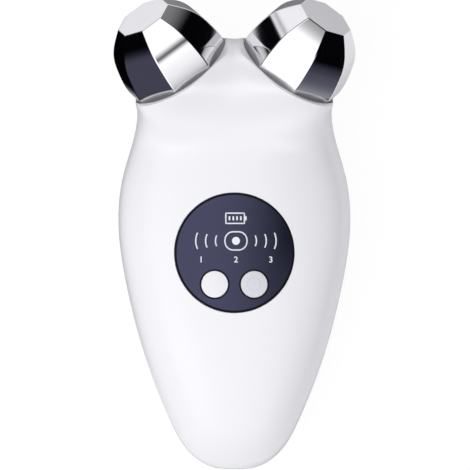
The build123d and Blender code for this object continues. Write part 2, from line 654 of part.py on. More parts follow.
for name, side in sides.items():
    section = axle_section(side, facet_turn)
    line = axle_line(side)

    def disc(radius, bore, low, high, label):
        with BuildPart() as ring:
            with BuildSketch(roller_plane(side, low)):
                Circle(radius)
                if bore:
                    Circle(bore, mode=Mode.SUBTRACT)
            extrude(amount=high - low)
        finish(ring, f"{name}_{label}")

    hub_flange_radius = facet_profile[0][1] - shell_wall - hub_flange_clearance
    bush_bore = axle_radius + running_fit
    bush_back = hub_back - bush_flange
    collar_top = bush_back - end_play
    clip_low = hub_front + end_play
    with BuildPart() as axle:
        with BuildSketch(roller_plane(side, axle_back)):
            Circle(axle_radius)
        extrude(amount=axle_front - axle_back)
        chamfer(axle.faces().sort_by(line)[-1].edges(), axle_chamfer)
        with BuildSketch(roller_plane(side, collar_top - collar_length)):
            Circle(collar_radius)
        extrude(amount=collar_length)
        with BuildSketch(roller_plane(side, clip_low)):
            Circle(axle_radius + groove_depth)
            Circle(axle_radius - groove_depth, mode=Mode.SUBTRACT)
        extrude(amount=clip_thickness, mode=Mode.SUBTRACT)
    finish(axle, f"{name}_axle")

    with BuildPart() as axle_clip:
        with BuildSketch(roller_plane(side, clip_low)):
            Circle(clip_radius)
            Circle(axle_radius - groove_depth, mode=Mode.SUBTRACT)
            with Locations((0, clip_radius)):
                Rectangle(2 * (axle_radius - groove_depth), 2 * clip_radius, mode=Mode.SUBTRACT)
        extrude(amount=clip_thickness)
    finish(axle_clip, f"{name}_axle_clip")

    with BuildPart() as axle_seal:
        with BuildSketch(roller_plane(side, -bowl_radius - seal_thickness)):
            Circle(seal_radius)
            Circle(axle_radius + seal_fit, mode=Mode.SUBTRACT)
        extrude(amount=seal_thickness - seal_recess)
    finish(axle_seal, f"{name}_axle_seal")

    with BuildPart() as terminal:
        with BuildSketch(roller_plane(side, socket_back)):
            Circle(terminal_radius)
            with Locations((0, -side * terminal_tab[1] / 2)):
                Rectangle(terminal_tab[0], terminal_tab[1])
            Circle(axle_radius + seal_fit, mode=Mode.SUBTRACT)
        extrude(amount=-terminal_thickness)
    finish(terminal, f"{name}_terminal")

    with BuildPart() as axle_nut:
        with BuildSketch(roller_plane(side, socket_back - terminal_thickness)):
            RegularPolygon(nut_flats / 2, 6, major_radius=False)
            Circle(axle_radius + seal_fit, mode=Mode.SUBTRACT)
        extrude(amount=-nut_thickness)
    finish(axle_nut, f"{name}_axle_nut")

    # faceted shell: a barrel outline, extruded across itself, and crossed with its turned copies
    with BuildPart() as roller_shell:
        for facet in range(facet_count // 2):
            turn = facet_turn + facet * 360 / facet_count
            with BuildSketch(axle_section(side, turn)):
                with BuildLine():
                    points = [(radius, place) for place, radius in (end_flat, *facet_profile, back_edge)]
                    flank = Spline(*points)
                    Line(points[0], (0, end_flat[0]))
                    Line((0, end_flat[0]), (0, back_edge[0]))
                    Line((0, back_edge[0]), points[-1])
                make_face()
                mirror(about=Plane.YZ)
            extrude(amount=bowl_radius, both=True, mode=Mode.INTERSECT if facet else Mode.ADD)
        with BuildSketch(section):
            with BuildLine():
                points = [(radius - shell_wall, place) for place, radius in (*facet_profile, back_edge)]
                points.insert(0, (end_flat[1] - shell_wall, end_flat[0] - shell_wall))
                Spline(*points)
                Polyline(points[0], (0, points[0][1]), (0, back_edge[0]), points[-1])
            make_face()
        revolve(axis=line, mode=Mode.SUBTRACT)
    finish(roller_shell, f"{name}_roller_shell")

    # turned hub: a sleeve with a flange that carries the shell, bored for a bush at each end
    with BuildPart() as roller_hub:
        with BuildSketch(section):
            with BuildLine():
                Polyline((bush_radius, hub_back), (hub_radius, hub_back),
                         (hub_radius, hub_front - hub_flange), (hub_flange_radius, hub_front - hub_flange),
                         (hub_flange_radius, hub_front), (bush_flange_radius, hub_front),
                         (bush_flange_radius, hub_front - bush_flange),
                         (bush_radius, hub_front - bush_flange), close=True)
            make_face()
        revolve(axis=line)
    finish(roller_hub, f"{name}_roller_hub")

    for label, flange_place, sleeve_place, outward in (
            ("front_bush", hub_front, hub_front - bush_flange, -1), ("rear_bush", bush_back, hub_back, 1)):
        with BuildPart() as bush:
            with BuildSketch(section):
                with BuildLine():
                    Polyline((bush_bore, flange_place), (bush_flange_radius, flange_place),
                             (bush_flange_radius, sleeve_place), (bush_radius, sleeve_place),
                             (bush_radius, sleeve_place + outward * bush_length),
                             (bush_bore, sleeve_place + outward * bush_length), close=True)
                make_face()
            revolve(axis=line)
        finish(bush, f"{name}_{label}")

    with BuildPart() as base_ring:
        with BuildSketch(roller_plane(side, back_edge[0])):
            Circle(back_edge[1] - shell_wall - base_ring_clearance)
            Circle(hub_radius + base_ring_clearance, mode=Mode.SUBTRACT)
        extrude(amount=base_ring_thickness)
    finish(base_ring, f"{name}_base_ring")

    # lead from the board to the roller's terminal
    tab_plane = roller_plane(side, socket_back - terminal_thickness / 2)
    tab_end = tab_plane.origin + tab_plane.y_dir * (-side * (terminal_tab[1] + lead_radius))
    with BuildPart() as lead:
        with BuildLine() as route:
            low = board_top + lead_radius
            turn_y = at(bend_start + lead_turn_reach)
            FilletPolyline((tab_end.X, at(lead_station), low), (tab_end.X, turn_y, low),
                           (tab_end.X, tab_end.Y, tab_end.Z), radius=lead_bend)
        with BuildSketch(Plane(origin=route.line @ 0, z_dir=route.line % 0)):
            Circle(lead_radius)
        sweep(path=route.line)
    finish(lead, f"{name}_lead")

# ---- fasteners --------------------------------------------------------------------------------------
with BuildPart() as housing_screws:
    head_z = lens_seat_z - screw_head - screw_hole_gap
    with BuildSketch(Plane.XY.offset(head_z)):
        with Locations(spots(housing_screws_at)):
            Circle(screw_head_radius)
    extrude(amount=screw_head)
    with BuildSketch(Plane.XY.offset(head_z)):
        with Locations(spots(housing_screws_at)):
            Circle(screw_radius - pilot_inset)
    extrude(amount=-screw_length)
finish(housing_screws, "housing_screws")

with BuildPart() as board_screws:
    with BuildSketch(Plane.XY.offset(board_bottom)):
        with Locations(spots(board_screws_at)):
            Circle(small_screw_head_radius)
    extrude(amount=-small_screw_head)
    with BuildSketch(Plane.XY.offset(board_bottom)):
        with Locations(spots(board_screws_at)):
            Circle(small_screw_radius - pilot_inset)
    extrude(amount=small_screw_length)
finish(board_screws, "board_screws")

with BuildPart() as bracket_screws:
    head_face = bracket_back.offset(bracket_plate)
    with BuildSketch(head_face):
        with Locations(bracket_screws_at):
            Circle(small_screw_head_radius)
    extrude(amount=small_screw_head)
    with BuildSketch(head_face):
        with Locations(bracket_screws_at):
            Circle(small_screw_radius - pilot_inset)
    extrude(amount=-(bracket_plate + bracket_pilot - post_gap))
finish(bracket_screws, "bracket_screws")
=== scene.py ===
import json
import math

import bmesh
import bpy
import numpy as np
from mathutils import Matrix, Vector


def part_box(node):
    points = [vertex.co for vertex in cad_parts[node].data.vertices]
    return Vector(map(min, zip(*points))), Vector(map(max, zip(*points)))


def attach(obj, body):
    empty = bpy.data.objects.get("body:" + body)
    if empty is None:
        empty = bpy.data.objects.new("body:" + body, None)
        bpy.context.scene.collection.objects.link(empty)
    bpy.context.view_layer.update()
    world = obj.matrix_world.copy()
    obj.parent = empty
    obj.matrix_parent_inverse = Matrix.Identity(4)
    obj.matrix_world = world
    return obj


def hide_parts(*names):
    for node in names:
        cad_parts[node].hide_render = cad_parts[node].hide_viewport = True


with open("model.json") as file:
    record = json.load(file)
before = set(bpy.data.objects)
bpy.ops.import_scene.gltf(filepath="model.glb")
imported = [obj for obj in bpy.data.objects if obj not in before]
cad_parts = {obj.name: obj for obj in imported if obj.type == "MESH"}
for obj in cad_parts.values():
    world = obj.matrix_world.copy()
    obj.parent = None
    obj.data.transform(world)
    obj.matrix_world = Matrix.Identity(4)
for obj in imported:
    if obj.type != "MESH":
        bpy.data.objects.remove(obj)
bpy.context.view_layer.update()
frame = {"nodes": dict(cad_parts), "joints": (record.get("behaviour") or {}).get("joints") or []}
nodes = frame["nodes"]
joints = {joint["name"]: joint for joint in frame["joints"]}

# ---- Camera ------------------------------------------------------------------------------------------
# The device lies on its back and is seen from straight above, tip down, through a long lens. The scale
# is that of the parting line, where the outline of the body is.


def add_object(name, data):
    """A new object in the scene's own collection."""
    made = bpy.data.objects.new(name, data)
    bpy.context.scene.collection.objects.link(made)
    return made


mm = 0.001
picture_pixels = 470
pixel_width = 0.2665 * mm
parting_height = 14 * mm
camera_rise = 1.5
aim_x, aim_y = 0.16 * mm, -0.03 * mm
camera_data = bpy.data.cameras.new("camera")
camera_data.sensor_width = 36
camera_data.lens = camera_data.sensor_width * camera_rise / (picture_pixels * pixel_width)
camera_data.clip_end = 20
camera = add_object("camera", camera_data)
camera.location = (aim_x, aim_y, parting_height + camera_rise)
bpy.context.scene.camera = camera
bpy.context.scene.view_settings.view_transform = "Standard"

# ---- Studio ------------------------------------------------------------------------------------------
# A white table in a white room. Polished metal sees the room as it stands round a product table, with
# bright panels, a slate wall in front and black cards between, which gives it dark and light facets.


def fill(tree, node, inputs):
    """Sets a node's inputs; each is given as a value or as the socket that feeds it."""
    for name, value in dict(inputs).items():
        if isinstance(value, bpy.types.NodeSocket):
            tree.links.new(value, node.inputs[name])
        else:
            node.inputs[name].default_value = value


def put(tree, kind, inputs=(), **settings):
    """Adds a node to a tree, with its settings and its inputs."""
    made = tree.nodes.new(kind)
    for name, value in settings.items():
        setattr(made, name, value)
    fill(tree, made, inputs)
    return made


def feed(tree, kind, inputs=(), **settings):
    """Adds a node and gives its first output, to feed another with."""
    return put(tree, kind, inputs, **settings).outputs[0]


def maths(tree, operation, *values, **settings):
    """One step of arithmetic on numbers and sockets."""
    return feed(tree, "ShaderNodeMath", enumerate(values), operation=operation, **settings)


def times(tree, *values):
    """The product of numbers and sockets."""
    product = values[0]
    for value in values[1:]:
        product = maths(tree, "MULTIPLY", product, value)
    return product


def ramp(tree, value, zero, one, kind="SMOOTHSTEP"):
    """A rise from 0 to 1 as a value goes from one number to the other, with soft ends or LINEAR."""
    return feed(tree, "ShaderNodeMapRange", {"Value": value, "From Min": zero, "From Max": one},
                interpolation_type=kind)


def patch(tree, *edges):
    """A patch with soft edges, each a value and where it begins and is full, times any plain number."""
    return times(tree, *(ramp(tree, *edge) if isinstance(edge, tuple) else edge for edge in edges))


def blend(tree, share, first, second, label=""):
    """Two colours, each given as three numbers or as a socket, mixed by a share."""
    first, second = (colour if isinstance(colour, bpy.types.NodeSocket) else (*colour, 1)
                     for colour in (first, second))
    return put(tree, "ShaderNodeMix", {"Factor": share, "A": first, "B": second}, data_type="RGBA",
               label=label).outputs["Result"]


def mixed_light(tree, share, first, second):
    """Two shaders mixed by a share."""
    return feed(tree, "ShaderNodeMixShader", {"Fac": share, 1: first, 2: second})


def object_place(tree):
    """The place of a point of the surface, in the object's own metres."""
    return put(tree, "ShaderNodeTexCoord").outputs["Object"]


world = bpy.data.worlds.new("room")
bpy.context.scene.world = world
world.use_nodes = True
room = world.node_tree
room.nodes.clear()
room_path = put(room, "ShaderNodeLightPath").outputs
sideways, lengthways, upwards = put(room, "ShaderNodeSeparateXYZ", {
    "Vector": put(room, "ShaderNodeTexCoord").outputs["Generated"]}).outputs
# the slate wall stands in front and nearer on the left, and is lit from below on the right
towards_wall = maths(room, "MULTIPLY_ADD", sideways, 0.25, lengthways)
slate_wall = ramp(room, towards_wall, -0.24, -0.64)
wall_light = patch(room, (upwards, 0.22, -0.05), (sideways, 0.15, 0.45), (lengthways, -0.55, -0.80), 0.5)
back_screen = patch(room, (lengthways, 0.66, 0.86), (upwards, 0.40, 0.15), (sideways, 0.62, -0.35))
right_card = patch(room, (sideways, 0.07, 0.30), (lengthways, -0.20, -0.02))
ceiling = patch(room, (upwards, 0.45, 0.70), (sideways, 0.80, 0.34),
                maths(room, "SUBTRACT", 1.0, right_card))
room_in_metal = (0.0008, 0.0008, 0.0015)
for share, colour in ((slate_wall, (0.062, 0.060, 0.092)), (wall_light, (0.55, 0.55, 0.60)),
                      (back_screen, (0.98, 0.98, 1.0)), (ceiling, (1.22, 1.22, 1.24))):
    room_in_metal = blend(room, share, room_in_metal, colour)
room_gloss = feed(room, "ShaderNodeBackground", {"Color": room_in_metal, "Strength": 1.0})
room_light = feed(room, "ShaderNodeBackground", {"Color": (0.97, 0.97, 1.0, 1), "Strength": 0.56})
room_seen = feed(room, "ShaderNodeBackground", {"Color": (1, 1, 1, 1), "Strength": 1.0})
room_rest = mixed_light(room, room_path["Is Glossy Ray"], room_light, room_gloss)
put(room, "ShaderNodeOutputWorld", {
    "Surface": mixed_light(room, room_path["Is Camera Ray"], room_rest, room_seen)})

table_half = 3.0
table_mesh = bpy.data.meshes.new("table")
table_mesh.from_pydata([(x * table_half, y * table_half, 0)
                        for x, y in ((-1, -1), (1, -1), (1, 1), (-1, 1))], [], [(0, 1, 2, 3)])
table = add_object("table", table_mesh)
table_white = bpy.data.materials.new("table_white")
table_white.use_nodes = True
paint = table_white.node_tree
paint.nodes.clear()
paint_path = put(paint, "ShaderNodeLightPath").outputs
paint_body = feed(paint, "ShaderNodeBsdfDiffuse", {"Color": (0.9, 0.9, 0.91, 1)})
paint_glow = feed(paint, "ShaderNodeEmission", {"Color": (1, 1, 1, 1), "Strength": 1.03})
paint_seen = mixed_light(paint, times(paint, paint_path["Is Camera Ray"], 0.9), paint_body, paint_glow)
# black cards on the table round the device, which only polished surfaces see
table_x, table_y, _ = put(paint, "ShaderNodeSeparateXYZ", {0: object_place(paint)}).outputs
off_middle = maths(paint, "ABSOLUTE", table_x)
cards = patch(paint, (table_x, -0.022, -0.036), (table_y, 0.085, 0.062))
for card in (((table_x, -0.09, -0.13), (table_y, 0.50, 0.30)),
             ((off_middle, 0.030, 0.018), (table_y, 0.100, 0.080), 0.7),
             ((table_x, 0.020, 0.032), (table_y, 0.066, 0.078), 0.3),
             ((table_x, 0.075, 0.12),)):
    cards = maths(paint, "MAXIMUM", cards, patch(paint, *card))
card_black = feed(paint, "ShaderNodeEmission", {"Color": (0.001, 0.001, 0.002, 1), "Strength": 1.0})
card_share = times(paint, cards, paint_path["Is Glossy Ray"])
put(paint, "ShaderNodeOutputMaterial", {"Surface": mixed_light(paint, card_share, paint_seen, card_black)})
table_mesh.materials.append(table_white)


def soft_panel(name, place, size, radiance):
    """A flat studio lamp that faces the device. Its picture in polished metal is the room's own panel."""
    lamp = bpy.data.lights.new(name, "AREA")
    lamp.shape = "RECTANGLE"
    lamp.size, lamp.size_y = size
    lamp.energy = radiance * math.pi * size[0] * size[1]
    panel = add_object(name, lamp)
    target = Vector((0, 0, parting_height))
    panel.location = place
    panel.rotation_euler = (target - Vector(place)).to_track_quat("-Z", "Y").to_euler()
    panel.visible_camera = False
    panel.visible_glossy = False


soft_panel("left_panel", place=(-0.74, -0.68, 1.02), size=(0.8, 0.9), radiance=2.3)
soft_panel("overhead", place=(-0.42, -0.10, 1.45), size=(1.2, 1.6), radiance=1.45)

# ---- Housing -----------------------------------------------------------------------------------------
# Two injection-moulded shells of glossy white ABS, which meet along a fine groove at half height.
# The front shell carries the window and both shells close round the bowls of the rollers.


def vector_maths(tree, operation, *values):
    """One step of arithmetic on vectors; some steps give a number."""
    gives = "Value" if operation in ("DOT_PRODUCT", "DISTANCE", "LENGTH") else "Vector"
    return put(tree, "ShaderNodeVectorMath", enumerate(values), operation=operation).outputs[gives]


def noise(tree, scale, detail, more=(), **settings):
    """Noise over an object's surface, with so many patches a metre."""
    return feed(tree, "ShaderNodeTexNoise", {"Vector": object_place(tree), "Scale": scale,
                                             "Detail": detail, **dict(more)}, **settings)


def raised_normal(tree, height, strength, depth, normal):
    """A normal bent by a height over the surface."""
    return feed(tree, "ShaderNodeBump", {"Height": height, "Strength": strength, "Distance": depth,
                                         "Normal": normal})


def open_group(name, inputs, outputs):
    """A shader node group with named sockets: the tree, what enters it and its leaving node."""
    tree = bpy.data.node_groups.new(name, "ShaderNodeTree")
    kinds = {float: "NodeSocketFloat", tuple: "NodeSocketVector"}
    for label, value in inputs.items():
        socket = tree.interface.new_socket(label, in_out="INPUT", socket_type=kinds[type(value)])
        socket.default_value = value
    for label, kind in outputs.items():
        tree.interface.new_socket(label, in_out="OUTPUT", socket_type=f"NodeSocket{kind}")
    return tree, tree.nodes.new("NodeGroupInput").outputs, tree.nodes.new("NodeGroupOutput")


def worn_edge_group():
    """Edges rounded by a small radius, and a broken mask of where hands and cloths have rubbed them."""
    tree, given, leave = open_group("worn_edge", {"Radius": 0.0002, "Patches per metre": 900.0},
                                    {"Mask": "Float", "Normal": "Vector"})
    rounded = feed(tree, "ShaderNodeBevel", {"Radius": given["Radius"]}, samples=4)
    flat = put(tree, "ShaderNodeNewGeometry").outputs["Normal"]
    bend = ramp(tree, vector_maths(tree, "DOT_PRODUCT", rounded, flat), 0.995, 0.88, "LINEAR")
    rubbed = ramp(tree, noise(tree, given["Patches per metre"], 4.0), 0.42, 0.62, "LINEAR")
    fill(tree, leave, {"Mask": times(tree, bend, rubbed), "Normal": rounded})
    return tree


def moulded_skin_group():
    """Slow waviness, fine grain and handling marks of a moulded, cast or polished surface."""
    tree, given, leave = open_group("moulded_skin", {"Grain per metre": 2500.0, "Roughness": 0.2,
                                                     "Roughness spread": 0.05, "Relief": 0.1,
                                                     "Normal": (0.0, 0.0, 1.0)},
                                    {"Roughness": "Float", "Shade": "Float", "Normal": "Vector"})
    grain = noise(tree, given["Grain per metre"], 3.0)
    wave = noise(tree, 24.0, 3.0)
    marks = noise(tree, 160.0, 6.0, {"Roughness": 0.65})
    fill(tree, leave, {
        "Roughness": maths(tree, "MULTIPLY_ADD", maths(tree, "SUBTRACT", marks, 0.5),
                           given["Roughness spread"], given["Roughness"]),
        "Shade": ramp(tree, wave, 0.3, 0.7, "LINEAR"),
        "Normal": raised_normal(tree, grain, given["Relief"], 0.02 * mm, given["Normal"])})
    return tree


def settled_dust_group():
    """Mask of the fine dust that stays in gaps and inner corners, where no cloth reaches."""
    tree, given, leave = open_group("settled_dust", {"Reach": 0.002, "Amount": 0.3}, {"Mask": "Float"})
    open_sky = put(tree, "ShaderNodeAmbientOcclusion", {"Distance": given["Reach"]}, samples=4)
    corner = ramp(tree, open_sky.outputs["AO"], 0.75, 0.2, "LINEAR")
    held = times(tree, corner, noise(tree, 1400.0, 5.0))
    fill(tree, leave, {"Mask": maths(tree, "MULTIPLY", held, given["Amount"], use_clamp=True)})
    return tree


worn_edge = worn_edge_group()
moulded_skin = moulded_skin_group()
settled_dust = settled_dust_group()
dust_grey = (0.42, 0.41, 0.39)
coat_roughness = 0.05


def inside_of(material):
    """A material's node tree and its shader."""
    return material.node_tree, material.node_tree.nodes["Principled BSDF"]


def finish_material(name, colours, roughness, spread=0.05, relief=0.1, grain=2500.0, metal=0.0, coat=0.0,
                    edge=0.2, wear=0.25, dust=0.25):
    """A material of two near shades with skin, rubbed edges and dust; edge is the edges' radius in mm."""
    material = bpy.data.materials.new(name)
    material.use_nodes = True
    tree, shader = inside_of(material)
    rubbed = put(tree, "ShaderNodeGroup", {"Radius": edge * mm}, node_tree=worn_edge).outputs
    skin = put(tree, "ShaderNodeGroup", {
        "Grain per metre": grain, "Roughness": roughness, "Roughness spread": spread, "Relief": relief,
        "Normal": rubbed["Normal"]}, node_tree=moulded_skin).outputs
    corner = put(tree, "ShaderNodeGroup", {"Amount": dust}, node_tree=settled_dust).outputs["Mask"]
    body = blend(tree, skin["Shade"], *colours, label="body colour")
    paler = [0.55 * channel + 0.42 for channel in colours[1]]
    worn = blend(tree, times(tree, rubbed["Mask"], wear), body, paler)
    fill(tree, shader, {
        "Base Color": blend(tree, corner, worn, dust_grey, label="surface colour"),
        "Roughness": maths(tree, "MULTIPLY_ADD", corner, 0.5, skin["Roughness"]),
        "Metallic": metal, "Coat Weight": coat, "Coat Roughness": coat_roughness, "Normal": skin["Normal"]})
    return material


def dress(material, *names):
    """Gives CAD nodes that stay as they are the material in every slot."""
    for name in names:
        mesh = nodes[name].data
        mesh.materials.clear()
        mesh.materials.append(material)


def smooth_copy(node, name, material):
    """The node's own surface as one welded mesh, smooth except along its sharper edges."""
    mesh = nodes[node].data.copy()
    mesh.name = name
    mesh.materials.clear()
    mesh.materials.append(material)
    work = bmesh.new()
    work.from_mesh(mesh)
    bmesh.ops.remove_doubles(work, verts=work.verts, dist=0.002 * mm)
    bmesh.ops.dissolve_degenerate(work, edges=work.edges, dist=0.0005 * mm)
    for face in work.faces:
        face.smooth = True
    for edge in work.edges:
        edge.smooth = len(edge.link_faces) == 2 and edge.calc_face_angle(math.pi) < crease_angle
    work.to_mesh(mesh)
    work.free()
    return add_object(name, mesh)


def stand_in(piece, body, slot, *replaced):
    """Makes a finished piece ride on its body in place of the CAD nodes that it stands for."""
    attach(piece, body)
    if replaced:
        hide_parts(*replaced)


crease_angle = math.radians(32)
glossy_white = finish_material("glossy_white", ((0.862, 0.862, 0.885), (0.870, 0.870, 0.892)),
                               roughness=0.24, spread=0.05, relief=0.05, edge=0.3, wear=0.15, dust=0.06)
for side in ("front", "rear"):
    stand_in(smooth_copy(f"{side}_housing", f"{side}_shell", glossy_white), "body", "white_abs",
             f"{side}_housing")

# ---- Window ------------------------------------------------------------------------------------------
# A round of smoked acrylic, flush with the front shell and crowned like it, on a ring of black foam.
# It is moulded with its two button holes, and its edge is rounded by polishing.


def corners(node):
    """A CAD node's lowest and highest corners."""
    return [Vector(corner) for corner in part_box(node)]


window_low, window_high = corners("panel_lens")
window_centre = (window_low + window_high) / 2
window_radius = (window_high.x - window_low.x) / 2
# the lighter of its two colours is a painted reflection, laid on towards the left below
smoked_acrylic = finish_material("smoked_acrylic", ((0.003, 0.003, 0.006), (0.026, 0.026, 0.046)),
                                 roughness=0.22, spread=0.03, relief=0.01, edge=0.4, wear=0.0, dust=0.05)
acrylic, acrylic_shader = inside_of(smoked_acrylic)
fill(acrylic, acrylic_shader, {"IOR": 1.7, "Specular Tint": (0.50, 0.52, 0.90, 1)})
# painted reflection: the base colour runs from near black on the right to a lighter slate on the left,
# with a slow wobble, standing in for the reflection of the lamp on the left in the crowned window
painted_reflection_across = put(acrylic, "ShaderNodeSeparateXYZ", {0: object_place(acrylic)}).outputs["X"]
painted_reflection_wobble = times(acrylic, noise(acrylic, 60.0, 2.0), 0.006)
painted_reflection_share = ramp(acrylic, maths(acrylic, "ADD", painted_reflection_across, painted_reflection_wobble), 13 * mm, -3 * mm)
body_colour = next(node for node in acrylic.nodes if node.label == "body colour")
fill(acrylic, body_colour, {"Factor": painted_reflection_share})
window = smooth_copy("panel_lens", "window", smoked_acrylic)
stand_in(window, "body", "window", "panel_lens")
gasket_foam = finish_material("gasket_foam", ((0.02, 0.02, 0.022), (0.03, 0.03, 0.033)),
                              roughness=0.8, spread=0.1, relief=0.6, wear=0.0)
dress(gasket_foam, "panel_gasket")

# ---- Signs -------------------------------------------------------------------------------------------
# White ink, screen-printed on the window: a battery with four bars, a rounded mark with a dot, waves to
# both sides of it, and a plain number for each of the three modes. Black ink rings the window's edge, and
# black rings round both button holes are painted shadow of the gap round each cap.


def open_tree(name, inputs):
    """A Geometry Nodes tree with named inputs: the tree, what enters it and its leaving node."""
    tree = bpy.data.node_groups.new(name, "GeometryNodeTree")
    tree.interface.new_socket("Geometry", in_out="INPUT", socket_type="NodeSocketGeometry")
    for label, value in inputs.items():
        kind = value if isinstance(value, str) else {int: "Int", float: "Float", tuple: "Vector"}[type(value)]
        socket = tree.interface.new_socket(label, in_out="INPUT", socket_type=f"NodeSocket{kind}")
        if not isinstance(value, str):
            socket.default_value = value
    tree.interface.new_socket("Geometry", in_out="OUTPUT", socket_type="NodeSocketGeometry")
    return tree, tree.nodes.new("NodeGroupInput").outputs, tree.nodes.new("NodeGroupOutput")


def vector(tree, **sides):
    """A vector made of numbers and sockets."""
    return feed(tree, "ShaderNodeCombineXYZ", sides)


def circle(tree, points, radius):
    """A circle about the upright axis."""
    return feed(tree, "GeometryNodeCurvePrimitiveCircle", {"Resolution": points, "Radius": radius},
                mode="RADIUS")


def rectangle(tree, width, height):
    """A flat rectangular outline."""
    return feed(tree, "GeometryNodeCurvePrimitiveQuadrilateral", {"Width": width, "Height": height})


def box_shape(tree, size):
    """A box about its own middle."""
    return feed(tree, "GeometryNodeMeshCube", {"Size": size})


def rod(tree, sides, radius, length):
    """An upright cylinder about its own middle."""
    return feed(tree, "GeometryNodeMeshCylinder", {"Vertices": sides, "Radius": radius, "Depth": length})


def row(tree, count, start, step):
    """Points at even steps."""
    return feed(tree, "GeometryNodeMeshLine", {"Count": count, "Start Location": start, "Offset": step},
                mode="OFFSET")


def copies(tree, points, shape, **values):
    """A copy of a shape at every point."""
    return feed(tree, "GeometryNodeInstanceOnPoints", {"Points": points, "Instance": shape, **values})


def shift(tree, geometry, offset):
    """Geometry moved by a vector."""
    return feed(tree, "GeometryNodeTransform", {"Geometry": geometry, "Translation": offset})


def sweep(tree, path, outline, caps=False):
    """An outline drawn along a path."""
    return feed(tree, "GeometryNodeCurveToMesh", {"Curve": path, "Profile Curve": outline,
                                                  "Fill Caps": caps})


def realized(tree, geometry):
    """Real geometry in place of instances."""
    return feed(tree, "GeometryNodeRealizeInstances", {"Geometry": geometry})


def join(tree, *sockets):
    """Joins pieces of geometry into one."""
    joined = tree.nodes.new("GeometryNodeJoinGeometry")
    for socket in sockets:
        tree.links.new(socket, joined.inputs[0])
    return joined.outputs[0]


def close_tree(tree, given, leave, geometry):
    """Ends a tree: real geometry, in the given material."""
    coated = feed(tree, "GeometryNodeSetMaterial", {"Geometry": realized(tree, geometry),
                                                    "Material": given["Material"]})
    tree.links.new(coated, leave.inputs[0])


def grow(name, tree, mesh, values):
    """Runs a tree on a mesh with the given inputs and keeps what it makes as one plain mesh."""
    piece = add_object(name, mesh)
    modifier = piece.modifiers.new(tree.name, "NODES")
    modifier.node_group = tree
    for item in tree.interface.items_tree:
        if item.in_out == "INPUT" and item.name in values:
            modifier[item.identifier] = values[item.name]
    evaluated = piece.evaluated_get(bpy.context.evaluated_depsgraph_get())
    made = bpy.data.meshes.new_from_object(evaluated)
    piece.modifiers.clear()
    piece.data = made
    made.name = name
    work = bmesh.new()
    work.from_mesh(made)
    bmesh.ops.recalc_face_normals(work, faces=work.faces)
    work.to_mesh(made)
    work.free()
    return piece


def lay_on_window(tree, flat, given):
    """Moves a flat print to its centre and drops every point of it on the crowned window below."""
    spot = feed(tree, "GeometryNodeInputPosition")
    target = put(tree, "GeometryNodeObjectInfo", {"Object": given["Window"]}, transform_space="ORIGINAL")
    drop = put(tree, "GeometryNodeRaycast", {
        "Target Geometry": target.outputs["Geometry"],
        "Source Position": vector_maths(tree, "ADD", spot, (0.0, 0.0, 20 * mm)),
        "Ray Direction": (0.0, 0.0, -1.0), "Ray Length": 100 * mm})
    film = vector_maths(tree, "SUBTRACT", spot, given["Centre"])
    lift = vector_maths(tree, "MULTIPLY_ADD", film, (0.0, 0.0, 1.0), drop.outputs["Hit Position"])
    return feed(tree, "GeometryNodeSetPosition", {"Geometry": shift(tree, flat, given["Centre"]),
                                                  "Position": lift})


def rings_tree():
    """A ring of one stroke and one radius at each point of a mesh."""
    tree, given, leave = open_tree("printed_rings", {
        "Centre": (0.0, 0.0, 0.0), "Radius": 0.0157, "Stroke": 0.0004, "Ink": 0.00004,
        "Window": "Object", "Material": "Material"})
    hoops = copies(tree, given["Geometry"], circle(tree, 96, 1.0), Scale=given["Radius"])
    rings = sweep(tree, realized(tree, hoops), rectangle(tree, given["Stroke"], given["Ink"]))
    close_tree(tree, given, leave, lay_on_window(tree, rings, given))
    return tree


